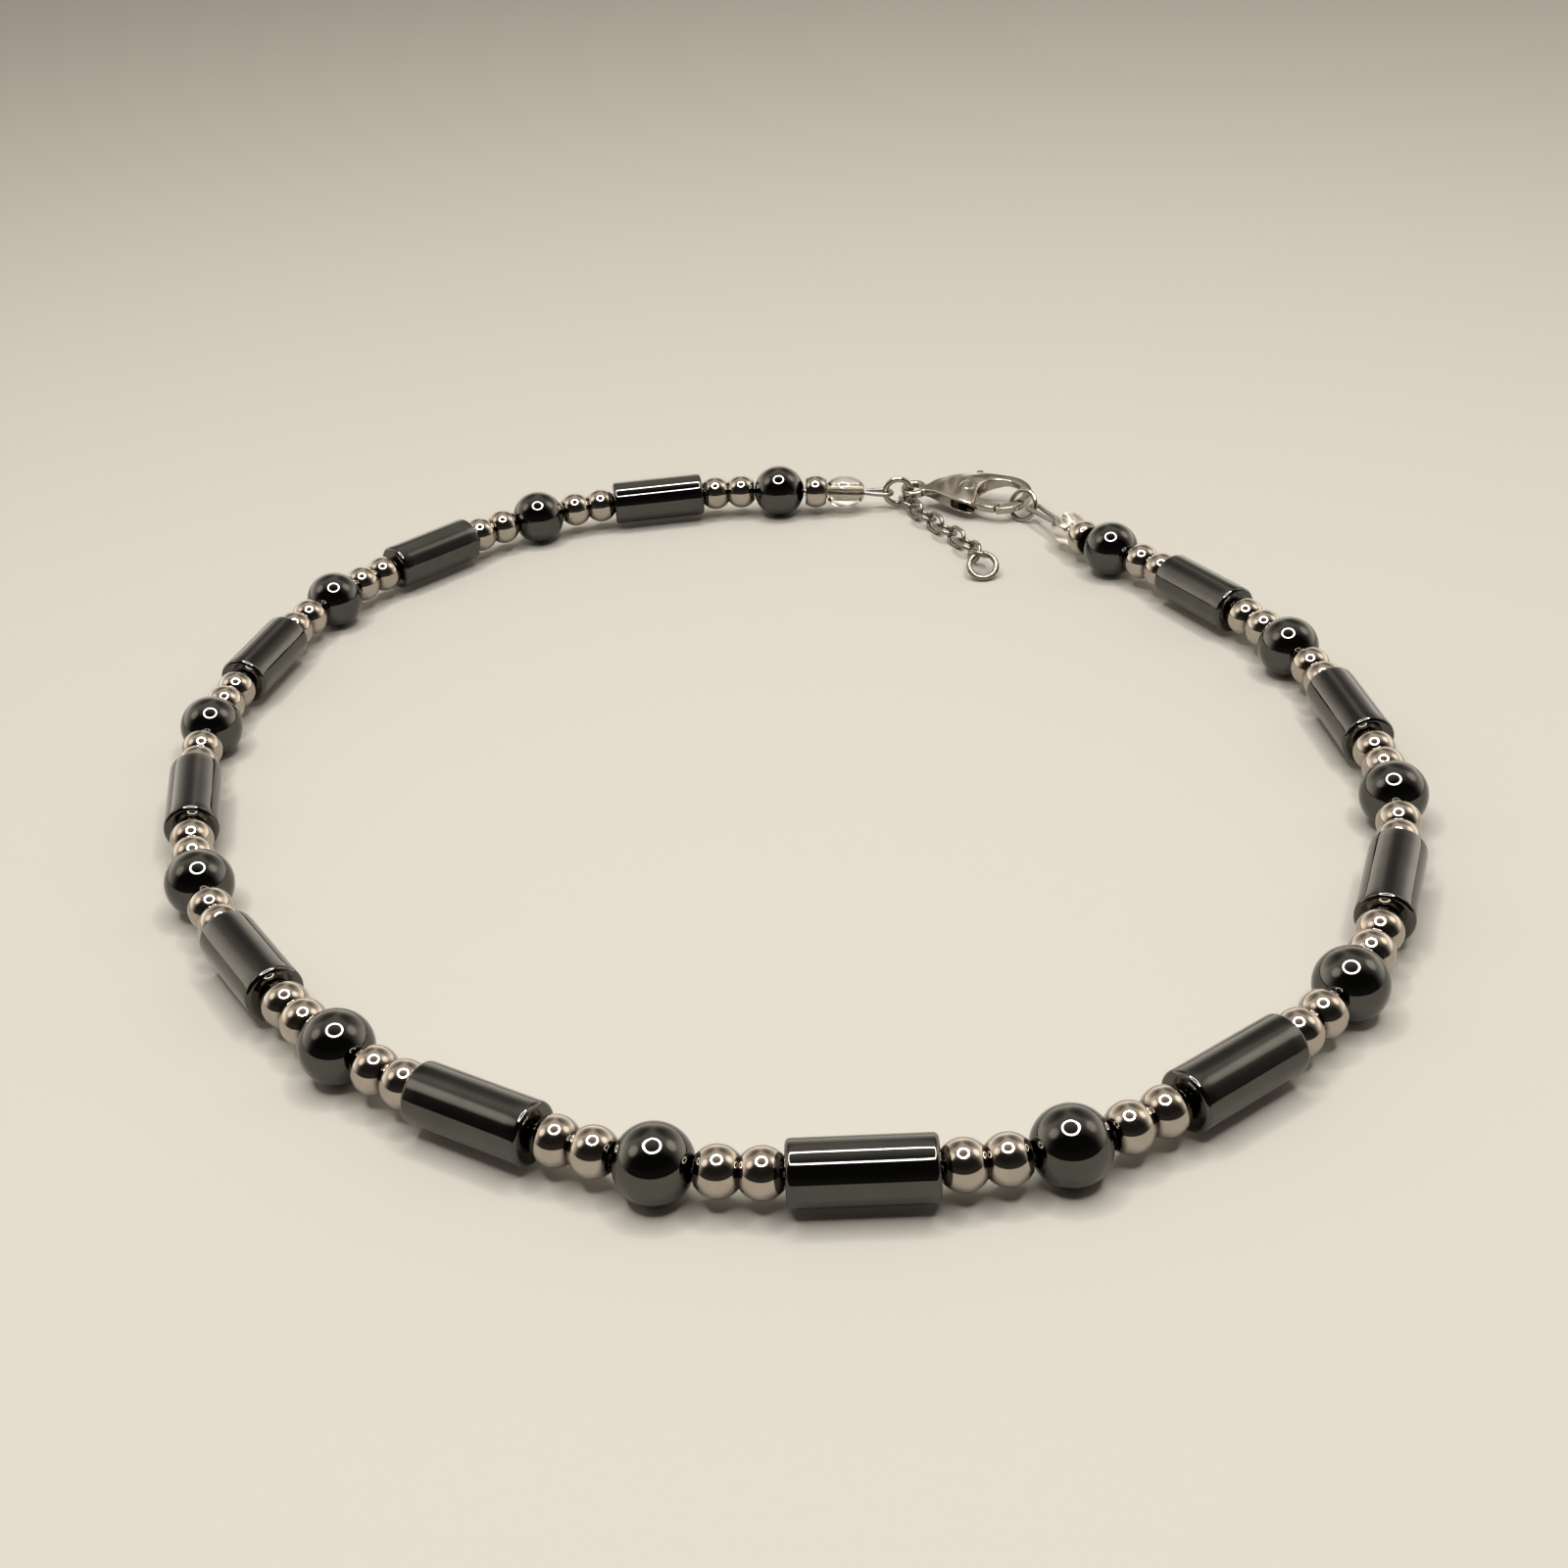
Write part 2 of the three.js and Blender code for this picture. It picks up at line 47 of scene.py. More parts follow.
# Beads, in millimetres
ROUND_RADIUS = 2.1
TUBE_RADIUS = 1.72
TUBE_LENGTH = 7.46
TUBE_EDGE = 0.28
TUBE_FACE_SHARE = 0.6
SILVER_RADIUS = 1.35
SILVER_LENGTH = 2.21
SILVER_PITCH = 2.19
END_SILVER_LENGTH = 1.72
FACE_EDGE = 0.04
CLEAR_RADIUS = 1.33
CLEAR_LENGTH = 3.1
BORE_RADIUS = 0.4
CLEAR_BORE_RADIUS = 0.54
MOUTH_EDGE = 0.07
# Where painted shade darkens each silver bead towards its end faces, in the neck between neighbouring
# beads
END_SHADE_START = 0.8
END_SHADE_SPAN = 0.17

# Wire, crimps and rings
WIRE_RADIUS = 0.19
WIRE_LAY = 1.6
WIRE_STRANDS = 7
STRAND_DEPTH = 0.14
CRIMP_RADIUS = 0.42
CRIMP_LENGTH = 2.6
CRIMP_FLATNESS = 0.6
CRIMP_PINCH = 0.2
CRIMP_PINCH_REACH = 0.55
CRIMP_END = [(0.0, 0.03), (0.0, 0.12), (0.05, 0.14)]
LOOP_RADIUS = 0.55
LOOP_ROOT = 0.5
LOOP_EXIT = 0.1
LOOP_NECK = 0.85
LOOP_NECK_HALF_WIDTH = 0.42
STRAND_OFFSET = 0.21
RING_HALF_GAP = 0.03
RING_GAP_AT = 60
RINGS = {"jump_ring": (1.1, 0.25), "clasp_ring": (1.2, 0.2), "extender_end_ring": (1.05, 0.23)}

# How far the cable runs straight to each side of a bead's centre
CABLE_HALVES = {"round": 2.0, "tube": 3.6, "spacer": 2.1, "end": 0.8, "clear": 1.45}

# Clasp, as it lies in the CAD model: its turn in degrees, its eye and its lever's slot
CLASP_HEADING = -17
CLASP_TILT = 10
EYE_RADIUS = 1.1
SLOT_HALF_THICKNESS = 0.39
SLOT_REACH = (3.2, 6.4)
SLOT_MARGIN = 0.03
RIVET_BASE = 0.9
WALL_LEAN = 0.3
DOME_RADIUS = 2.8
DOME_REACH = 2.1
DOME_SHARE = 1.25
DOME_ROUNDS = 120
WALL_STEP = 0.03
BODY_VOXEL = 0.055
BODY_ROUNDS = 10
LEVER_VOXEL = 0.045
LEVER_ROUNDS = 6

# Extender chain, the points where its links bear, from the jump ring's centre on the floor
CHAIN_ROUTE = [
    (0.68, 0.22, 0.78), (0.95, -1.5, 0.79), (1.75, -3.6, 0.79), (2.75, -5.75, 0.79), (3.65, -7.8, 0.79),
    (4.55, -9.7, 0.79), (5.15, -11.7, 0.82), (5.36, -13.1, 1.15), (5.44, -14.17, 1.7),
]
LINK_PITCH = 1.73
LINK_HALF_WIDTH = 0.66
LINK_WIRE = 0.17
LINK_ROLLS = (-20, 70)

# How finely the turned and swept shapes are cut, and the angle at which their edges stay sharp
BEAD_SIDES = 64
SILVER_SIDES = 48
CRIMP_SIDES = 32
LOOP_SIDES = 28
CABLE_SIDES = 12
RING_SIDES = 24
RING_STEPS = 96
LINK_SIDES = 16
LINK_STEPS = 14
SWEEP_TOP = (0.3, 0.2, 1.0)
CURVE_STEPS = 16
LOOP_STEP = 0.09
CABLE_STEP = 0.6
BEAD_CREASE = 35
WIRE_CREASE = 60

# The noise's values over which colour and polish change, and the clear plastic's refraction
CLOUD_SPAN = (0.3, 0.7)
CLEAR_BEND = 1.49

# Floor and lamp
FLOOR_HALF = 6000
FLOOR_COLOUR = (0.383, 0.363, 0.325)
FLOOR_ROUGHNESS = 0.9
FLOOR_SHINE = 0.1
LAMP_PLACE = (0, -42, 300)
LAMP_INNER = 98
LAMP_OUTER = 127
LAMP_STEPS = 96
LAMP_STRENGTH = 28.7
LAMP_COLOUR = (1.0, 0.985, 0.96)

# Room light: its strength from front to back, and the share of it from low to high
ROOM_COLOUR = (1.0, 0.92, 0.81)
ROOM_DEPTH = (-0.42, 0.5)
ROOM_STRENGTH = (0.03, 1.1)
ROOM_HEIGHT = (0.12, 0.55)
ROOM_SHARE = (1.5, 0.72)

# Lighter and darker patches of the room: direction, full and fading radius in degrees, strength
ROOM_PATCHES = [
    ((-0.73, 0.03, 0.69), 4, 17, 1.5),
    ((0.72, 0.21, 0.66), 4, 17, 1.5),
    ((-0.85, 0.45, 0.3), 10, 40, 0.32),
    ((0.85, 0.45, 0.3), 10, 40, 0.32),
    ((-0.42, 0.76, 0.48), 12, 28, -0.55),
    ((0.42, 0.76, 0.48), 12, 28, -0.55),
]

# Camera, placed as the photograph was taken
CAMERA_PLACE = Vector((1.0, -118.3, 68.2)) * MM
CAMERA_DIP = 30.47
CAMERA_ROLL = -3.61
CAMERA_LENS = 46.86
CAMERA_SENSOR = 36.0


def unit(v):
    return v / np.linalg.norm(v)


def points_of(node):
    """A CAD node's different points, in millimetres."""
    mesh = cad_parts[node].data
    co = np.zeros(len(mesh.vertices) * 3)
    mesh.vertices.foreach_get("co", co)
    return np.unique(np.round(co.reshape(-1, 3) / MM, 4), axis=0)


def centre_of(node):
    return points_of(node).mean(0)


def long_axis(node):
    """The direction in which a CAD node's points spread most."""
    points = points_of(node)
    return np.linalg.svd(points - points.mean(0), full_matrices=False)[2][0]


def flat_normal(node):
    """The direction in which a CAD node's points spread least."""
    points = points_of(node)
    return np.linalg.svd(points - points.mean(0), full_matrices=False)[2][2]


def basis(x_axis, near=(0, 0, 1)):
    """A rotation whose X is x_axis and whose Z leans to near."""
    x = unit(np.array(x_axis, float))
    y = unit(np.cross(near, x))
    z = np.cross(x, y)
    return Matrix([[x[i], y[i], z[i]] for i in range(3)])


def outward(verts, faces):
    """The faces turned so that they look out of the closed shape."""
    volume = 0.0
    for face in faces:
        first = verts[face[0]]
        for i in range(1, len(face) - 1):
            volume += np.dot(first, np.cross(verts[face[i]], verts[face[i + 1]]))
    return faces if volume > 0 else [tuple(reversed(face)) for face in faces]


def place(
    name, shape, material, centre=(0, 0, 0), rotation=None,
    body="anklet", crease=BEAD_CREASE, groove=None,
):
    """An object of the shape, at a point in millimetres, that rides on a body."""
    verts, faces = shape
    if rotation is not None:
        verts = verts @ np.array(rotation).T
    verts = (verts + np.array(centre)) * MM
    mesh = bpy.data.meshes.new(name)
    mesh.from_pydata(verts.tolist(), [], faces)
    mesh.update()
    mesh.shade_smooth()
    mesh.set_sharp_from_angle(angle=math.radians(crease))
    mesh.materials.append(material)
    # The share of painted shade at each point, for the silver beads' darkened ends
    if groove is not None:
        mesh.attributes.new("groove", "FLOAT", "POINT").data.foreach_set("value", groove)
    obj = bpy.data.objects.new(name, mesh)
    bpy.context.scene.collection.objects.link(obj)
    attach(obj, body)
    return obj


def turned(profile, sides=BEAD_SIDES):
    """A closed profile of (along, radius) points turned about X."""
    verts = []
    for along, radius in profile:
        for k in range(sides):
            angle = 2 * math.pi * k / sides
            verts.append((along, radius * math.cos(angle), radius * math.sin(angle)))
    return joined_rings(np.array(verts), len(profile), sides, True)


def joined_rings(verts, count, sides, closed):
    """Rings of points joined each to the next, the last to the first or both ends capped."""
    faces = []
    for i in range(count if closed else count - 1):
        here, there = i * sides, ((i + 1) % count) * sides
        for k in range(sides):
            n = (k + 1) % sides
            faces.append((here + k, here + n, there + n, there + k))
    if not closed:
        faces.append(tuple(reversed(range(sides))))
        faces.append(tuple((count - 1) * sides + k for k in range(sides)))
    return verts, outward(verts, faces)


def arc(centre_along, centre_radius, radius, start, end, steps):
    """Points of an arc in a turning profile, angles in degrees from the axis direction."""
    for i in range(steps + 1):
        angle = math.radians(start + (end - start) * i / steps)
        yield (centre_along + radius * math.cos(angle), centre_radius + radius * math.sin(angle))


def mirrored(half):
    """A whole closed profile from the half that runs from the middle out to the bore."""
    return half + [(-along, radius) for along, radius in reversed(half)]


def bored_end(face_along, bore):
    """The softened mouth of a bore at a bead's end, and the bore's wall."""
    mouth = list(arc(face_along - MOUTH_EDGE, bore + MOUTH_EDGE, MOUTH_EDGE, 0, -90, 4))
    return mouth + [(face_along * 0.5, bore)]


def round_bead():
    edge = math.degrees(math.asin((BORE_RADIUS + MOUTH_EDGE) / ROUND_RADIUS))
    face = ROUND_RADIUS * math.cos(math.radians(edge))
    half = list(arc(0, 0, ROUND_RADIUS, 90, edge, 24))[1:]
    return turned(mirrored(half + bored_end(face, BORE_RADIUS)[1:]))


def tube_bead():
    end = TUBE_LENGTH / 2
    half = [(end * i / 8, TUBE_RADIUS) for i in range(1, 7)]
    half += list(arc(end - TUBE_EDGE, TUBE_RADIUS - TUBE_EDGE, TUBE_EDGE, 90, 0, 8))
    half.append((end, TUBE_RADIUS * TUBE_FACE_SHARE))
    return turned(mirrored(half + bored_end(end, BORE_RADIUS)))


def silver_bead(length):
    end = length / 2
    face = math.sqrt(SILVER_RADIUS**2 - (end - FACE_EDGE) ** 2)
    edge = math.degrees(math.asin(face / SILVER_RADIUS))
    half = list(arc(0, 0, SILVER_RADIUS, 88, edge, 16))
    half += list(arc(end - FACE_EDGE, face - FACE_EDGE, FACE_EDGE, 60, 0, 3))
    return turned(mirrored(half + bored_end(end, BORE_RADIUS)), SILVER_SIDES)


def end_groove(shape):
    """How far each point of a bead lies in the painted shade beside its end face, from none to one."""
    along = np.abs(shape[0][:, 0])
    return np.clip((along / along.max() - END_SHADE_START) / END_SHADE_SPAN, 0, 1)


def clear_bead():
    end = CLEAR_LENGTH / 2
    lip = CLEAR_BORE_RADIUS + MOUTH_EDGE
    limit = math.acos(lip / CLEAR_RADIUS)
    half = []
    for i in range(1, 17):
        angle = limit * i / 17
        half.append((end * math.sin(angle) / math.sin(limit), CLEAR_RADIUS * math.cos(angle)))
    return turned(mirrored(half + bored_end(end, CLEAR_BORE_RADIUS)))


def along_curve(points, step):
    """Even points along a smooth curve through the given points."""
    points = [np.array(p, float) for p in points]
    dense = []
    for i in range(len(points) - 1):
        p0, p1 = points[max(i - 1, 0)], points[i]
        p2, p3 = points[i + 1], points[min(i + 2, len(points) - 1)]
        for k in range(CURVE_STEPS):
            t = k / CURVE_STEPS
            dense.append(
                0.5 * (2 * p1 + (p2 - p0) * t + (2 * p0 - 5 * p1 + 4 * p2 - p3) * t**2
                       + (3 * p1 - p0 - 3 * p2 + p3) * t**3)
            )
    dense = np.array(dense + [points[-1]])
    walked = np.concatenate([[0], np.cumsum(np.linalg.norm(np.diff(dense, axis=0), axis=1))])
    pieces = max(2, round(walked[-1] / step))
    marks = np.linspace(0, walked[-1], pieces + 1)
    return np.stack([np.interp(marks, walked, dense[:, i]) for i in range(3)], axis=1)


def swept(path, radius, sides=16, closed=False, lobes=0, lay=1.0):
    """A round wire along a path, or a cable of strands with lobes that turn once in each lay."""
    count = len(path)
    side = None
    verts = []
    walked = 0.0
    for i in range(count):
        ahead = path[(i + 1) % count] if closed or i + 1 < count else path[i]
        behind = path[i - 1] if closed or i > 0 else path[i]
        tangent = unit(ahead - behind)
        if side is None:
            side = np.cross(tangent, SWEEP_TOP)
        side = unit(side - tangent * np.dot(side, tangent))
        up = np.cross(tangent, side)
        walked += np.linalg.norm(path[i] - path[i - 1]) if i else 0.0
        for k in range(sides):
            angle = 2 * math.pi * k / sides
            r = radius
            if lobes:
                phase = lobes * (angle + 2 * math.pi * walked / lay) / 2
                r = radius * (1 - STRAND_DEPTH + STRAND_DEPTH * abs(math.cos(phase)))
            verts.append(path[i] + r * (math.cos(angle) * side + math.sin(angle) * up))
    return joined_rings(np.array(verts), count, sides, closed)


# Materials

def new_material(name):
    material = bpy.data.materials.new(name)
    material.use_nodes = True
    tree = material.node_tree
    shader = tree.nodes["Principled BSDF"]
    place_node = tree.nodes.new("ShaderNodeTexCoord")
    return material, tree, shader, place_node.outputs["Object"]


def noise(tree, where, scale, detail=4.0, roughness=0.6, stretch=None):
    """Noise whose scale is in features per millimetre."""
    if stretch:
        mapping = tree.nodes.new("ShaderNodeMapping")
        mapping.inputs["Scale"].default_value = stretch
        tree.links.new(where, mapping.inputs["Vector"])
        where = mapping.outputs["Vector"]
    node = tree.nodes.new("ShaderNodeTexNoise")
    node.inputs["Scale"].default_value = scale / MM
    node.inputs["Detail"].default_value = detail
    node.inputs["Roughness"].default_value = roughness
    tree.links.new(where, node.inputs["Vector"])
    return node.outputs["Fac"]


def clouded(tree, factor, dark, light):
    """A colour between dark and light that follows the noise."""
    ramp = tree.nodes.new("ShaderNodeValToRGB")
    for element, at, colour in zip(ramp.color_ramp.elements, CLOUD_SPAN, (dark, light)):
        element.position = at
        element.color = (*colour, 1.0)
    tree.links.new(factor, ramp.inputs["Fac"])
    return ramp.outputs["Color"]


def ranged(tree, value, source, target, interpolation="LINEAR"):
    """The value, taken from its source range to the target range."""
    node = tree.nodes.new("ShaderNodeMapRange")
    node.interpolation_type = interpolation
    node.inputs["From Min"].default_value = source[0]
    node.inputs["From Max"].default_value = source[1]
    node.inputs["To Min"].default_value = target[0]
    node.inputs["To Max"].default_value = target[1]
    tree.links.new(value, node.inputs["Value"])
    return node.outputs["Result"]


def end_shaded(tree, colour, end_shade_colour):
    """The colour, darkened with painted shade where the mesh's attribute for it rises to one."""
    groove = tree.nodes.new("ShaderNodeAttribute")
    groove.attribute_name = "groove"
    mix = tree.nodes.new("ShaderNodeMix")
    mix.data_type = "RGBA"
    tree.links.new(groove.outputs["Fac"], mix.inputs["Factor"])
    tree.links.new(colour, mix.inputs["A"])
    mix.inputs["B"].default_value = (*end_shade_colour, 1.0)
    return mix.outputs["Result"]


def bumped(tree, shader, height, distance):
    node = tree.nodes.new("ShaderNodeBump")
    node.inputs["Strength"].default_value = 1.0
    node.inputs["Distance"].default_value = distance * MM
    tree.links.new(height, node.inputs["Height"])
    tree.links.new(node.outputs["Normal"], shader.inputs["Normal"])


def metal(name, dark, light, rough, grain, wave, end_shade_colour=None):
    """Polished metal or metallic stone with clouded colour, uneven polish, a faint surface wave and, if
    given, painted shade towards bead ends.
    """
    material, tree, shader, where = new_material(name)
    shader.inputs["Metallic"].default_value = 1.0
    colour = clouded(tree, noise(tree, where, grain), dark, light)
    if end_shade_colour:
        colour = end_shaded(tree, colour, end_shade_colour)
    tree.links.new(colour, shader.inputs["Base Color"])
    polish = noise(tree, where, grain * 4, detail=6.0, roughness=0.7, stretch=(0.4, 1.0, 1.0))
    roughness = ranged(tree, polish, CLOUD_SPAN, rough)
    tree.links.new(roughness, shader.inputs["Roughness"])
    bumped(tree, shader, noise(tree, where, grain * 1.5, detail=2.0), wave)
    return material


def clear_plastic(name, dark, light, rough):
    """Clear plastic with a clouded tint and uneven polish."""
    material, tree, shader, where = new_material(name)
    shader.inputs["Transmission Weight"].default_value = 1.0
    shader.inputs["IOR"].default_value = CLEAR_BEND
    tint = clouded(tree, noise(tree, where, 0.6), dark, light)
    tree.links.new(tint, shader.inputs["Base Color"])
    roughness = ranged(tree, noise(tree, where, 2.0), CLOUD_SPAN, rough)
    tree.links.new(roughness, shader.inputs["Roughness"])
    return material


HEMATITE = metal(
    "hematite", dark=(0.082, 0.082, 0.076), light=(0.102, 0.101, 0.093),
    rough=(0.02, 0.06), grain=0.5, wave=0.0006,
)
# Silver beads, their ends darkened with painted shade
SILVER = metal(
    "silver_bead", dark=(0.39, 0.345, 0.296), light=(0.467, 0.416, 0.357),
    rough=(0.05, 0.11), grain=0.8, wave=0.001, end_shade_colour=(0.06, 0.05, 0.04),
)
PLATED = metal(
    "plated_clasp", dark=(0.335, 0.303, 0.257), light=(0.415, 0.378, 0.327),
    rough=(0.16, 0.23), grain=0.9, wave=0.001,
)
CHAIN = metal(
    "plated_chain", dark=(0.22, 0.20, 0.165), light=(0.29, 0.26, 0.22),
    rough=(0.22, 0.34), grain=0.9, wave=0.001,
)
STEEL = metal(
    "beading_cable", dark=(0.26, 0.25, 0.23), light=(0.36, 0.34, 0.31),
    rough=(0.25, 0.4), grain=2.0, wave=0.003,
)
CRIMP = metal(
    "crimp", dark=(0.10, 0.095, 0.08), light=(0.15, 0.14, 0.12),
    rough=(0.4, 0.55), grain=1.0, wave=0.001,
)
CLEAR = clear_plastic("clear_bead", dark=(0.84, 0.80, 0.73), light=(0.88, 0.85, 0.78), rough=(0.0, 0.04))


# The strand, bead by bead

def strand_order():
    """The strand's CAD nodes from the left clear bead round to the right one."""
    order = ["clear_end_bead_left", "end_spacer_left", "round_bead_01"]
    for i in range(1, 12):
        order += [
            f"spacer_pair_{2 * i - 1:02d}", f"tube_bead_{i:02d}",
            f"spacer_pair_{2 * i:02d}", f"round_bead_{i + 1:02d}",
        ]
    return order + ["end_spacer_right", "clear_end_bead_right"]


order = strand_order()
centres = {node: centre_of(node) for node in order}


def heading(node):
    """The thread's direction through a bead: its own axis if it is long, or its neighbours' line."""
    i = order.index(node)
    behind, ahead = centres[order[max(i - 1, 0)]], centres[order[min(i + 1, len(order) - 1)]]
    if "end" in node:
        side = "left" if "left" in node else "right"
        line = centres[f"end_spacer_{side}"] - centres[f"clear_end_bead_{side}"]
        return unit(line if side == "left" else -line)
    if not node.startswith(("tube", "spacer_pair")):
        return unit(ahead - behind)
    axis = long_axis(node)
    return axis if np.dot(axis, ahead - behind) > 0 else -axis


def build_strand():
    shapes = {
        "round": (round_bead(), HEMATITE, "hematite"),
        "tube": (tube_bead(), HEMATITE, "hematite"),
        "spacer": (silver_bead(SILVER_LENGTH), SILVER, "silver_beads"),
        "end": (silver_bead(END_SILVER_LENGTH), SILVER, "silver_beads"),
        "clear": (clear_bead(), CLEAR, "clear_beads"),
    }
    for node in order:
        axis = heading(node)
        kind = node.split("_")[0]
        shape, material, slot = shapes[kind]
        offsets = [-SILVER_PITCH / 2, SILVER_PITCH / 2] if kind == "spacer" else [0.0]
        # Silver beads get painted shade towards their ends, between neighbouring beads
        groove = end_groove(shape) if material == SILVER else None
        for k, offset in enumerate(offsets):
            spin = Matrix.Rotation(rng.uniform(0, 2 * math.pi), 3, "X")
            name = f"{node}_look" if len(offsets) == 1 else f"{node}_bead_{k + 1}"
            spot = centres[node] + offset * axis
            bead = place(name, shape, material, spot, basis(axis) @ spin, groove=groove)
            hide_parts(node)


def clear_bead_end(side):
    """The outer end of a clear end bead, and the direction away from the strand."""
    node = f"clear_end_bead_{side}"
    away = -heading(node) if side == "left" else heading(node)
    return centres[node] + away * CLEAR_LENGTH / 2, away


def ring_hold(side, away):
    """The middle of the wire of the ring that the loop on this side goes round."""
    node = "jump_ring" if side == "left" else "clasp_ring"
    radius = RINGS[node][0]
    in_plane = unit(np.cross(flat_normal(node), (0, 0, 1)))
    if np.dot(in_plane, away) > 0:
        in_plane = -in_plane
    return centre_of(node) + radius * in_plane


def build_loop(side):
    """The wire's end loop, round the ring and back into the crimp."""
    end, away = clear_bead_end(side)
    hold = ring_hold(side, away)
    line = unit(hold - end)
    across = unit(np.cross((0, 0, 1), line))
    root = end - away * LOOP_ROOT
    way_out = end + LOOP_EXIT * line
    neck = hold - LOOP_NECK * line

    def leg(sign):
        """One leg of the loop, from inside the bead to the ring."""
        yield root + sign * STRAND_OFFSET * across
        yield way_out + sign * STRAND_OFFSET * across
        yield neck + sign * LOOP_NECK_HALF_WIDTH * across

    points = list(leg(-1))
    for degrees in range(-90, 91, 30):
        angle = math.radians(degrees)
        points.append(hold + LOOP_RADIUS * (math.cos(angle) * line + math.sin(angle) * across))
    points += reversed(list(leg(1)))
    path = along_curve(points, LOOP_STEP)
    shape = swept(path, WIRE_RADIUS, LOOP_SIDES, lobes=WIRE_STRANDS, lay=WIRE_LAY)
    loop = place(f"wire_loop_{side}", shape, STEEL, crease=WIRE_CREASE)
    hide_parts("beading_wire")


def build_crimp(side):
    """A flattened crimp tube, pinched in its middle, inside a clear bead."""
    end = CRIMP_LENGTH / 2
    half = [(end * i / 12, CRIMP_RADIUS) for i in range(1, 12)]
    half += [(end - back, CRIMP_RADIUS - deep) for back, deep in CRIMP_END]
    verts, faces = turned(mirrored(half), CRIMP_SIDES)
    pinch = np.exp(-((verts[:, 0] / CRIMP_PINCH_REACH) ** 2))
    verts[:, 2] *= CRIMP_FLATNESS * (1 - CRIMP_PINCH * pinch)
    node = f"clear_end_bead_{side}"
    crimp = place(f"crimp_{side}", (verts, faces), CRIMP, centres[node], basis(heading(node)))
    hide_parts("beading_wire")


def build_wire():
    """The cable through all the beads."""
    route = []
    for node in order:
        half = CABLE_HALVES[node.split("_")[0]] * heading(node)
        route += [centres[node] - half, centres[node] + half]
    shape = swept(along_curve(route, CABLE_STEP), WIRE_RADIUS, CABLE_SIDES)
    cable = place("cable", shape, STEEL, crease=WIRE_CREASE)
    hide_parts("beading_wire")
    for side in ("left", "right"):
        build_loop(side)
        build_crimp(side)


# Clasp, rings and extender

def build_ring(node):
    """A ring of round wire with its butted joint."""
    radius, wire = RINGS[node]
    normal = flat_normal(node)
    if normal[2] < 0:
        normal = -normal
    gap = RING_HALF_GAP / radius
    start = math.radians(RING_GAP_AT) + gap
    angles = start + (2 * math.pi - 2 * gap) * np.arange(RING_STEPS + 1) / RING_STEPS
    path = radius * np.stack([np.cos(angles), np.sin(angles), np.zeros(len(angles))], axis=1)
    level = unit(np.cross((0, 0, 1), normal)) if abs(normal[2]) < 0.99 else np.array((1.0, 0, 0))
    shape = swept(path, wire, RING_SIDES)
    material = CHAIN if node == "extender_end_ring" else PLATED
    turn = basis(level, normal)
    ring = place(node + "_look", shape, material, centre_of(node), turn, crease=WIRE_CREASE)
    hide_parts(node)


def evened(values, edges, rounds):
    """Values of a mesh's points, each averaged with its neighbours' a number of times."""
    ends = np.concatenate([edges, edges[:, ::-1]])
    neighbours = np.bincount(ends[:, 0], minlength=len(values))
    for _ in range(rounds):
        total = np.bincount(ends[:, 0], weights=values[ends[:, 1]], minlength=len(values))
        values = (values + total) / (1 + neighbours)
    return values


def clasp_turn():
    """The rotation that takes the clasp from its own axes to where it lies."""
    tilt = Matrix.Rotation(math.radians(CLASP_TILT), 3, "X")
    return np.array(tilt @ Matrix.Rotation(math.radians(CLASP_HEADING), 3, "Z"))


def wall_points(cad, flat, up):
    """Points along the side walls of the CAD body, apart from its slot's and its rivet's."""
    points = []
    for face in cad.polygons:
        corners = flat[list(face.vertices)]
        height = np.abs(corners[:, 2])
        low = height.max() < SLOT_HALF_THICKNESS + SLOT_MARGIN
        in_slot = low and SLOT_REACH[0] < corners[0, 0] < SLOT_REACH[1]
        if abs(np.dot(face.normal, up)) > WALL_LEAN or in_slot or height.min() > RIVET_BASE:
            continue
        for start, end in zip(corners[:, :2], np.roll(corners, 1, axis=0)[:, :2]):
            steps = max(1, round(np.linalg.norm(end - start) / WALL_STEP))
            points += [start + (end - start) * k / steps for k in range(steps)]
    return np.unique(np.round(np.array(points), 3), axis=0)


def distances(points, marks):
    """How far each of the points is from the nearest mark, seen from above."""
    tree = kdtree.KDTree(len(marks))
    for i, (x, y) in enumerate(marks):
        tree.insert((x, y, 0), i)
    tree.balance()
    return np.array([tree.find((x, y, 0))[2] for x, y, _ in points])


def domed(node, mesh):
    """The clasp body's flat faces drawn down in a smooth dome towards their edges."""
    turn = clasp_turn()
    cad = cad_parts[node].data
    flat = np.array([v.co for v in cad.vertices]) / MM @ turn
    origin = np.array([flat[:, 0].min() + EYE_RADIUS, 0.0, (flat[:, 2].min() + flat[:, 2].max()) / 2])
    local = np.array([v.co for v in mesh.vertices]) / MM @ turn - origin
    from_wall = distances(local, wall_points(cad, flat - origin, turn[:, 2]))
    inside = np.maximum(DOME_REACH - from_wall, 0)
    drop = DOME_RADIUS - np.sqrt(DOME_RADIUS**2 - inside**2)
    drop = evened(drop, np.array([e.vertices[:] for e in mesh.edges]), DOME_ROUNDS)
    above = np.maximum(np.abs(local[:, 2]) - SLOT_HALF_THICKNESS, 0)
    local[:, 2] -= np.copysign(above * drop / DOME_SHARE, local[:, 2])
    mesh.vertices.foreach_set("co", ((local + origin) @ turn.T * MM).ravel())


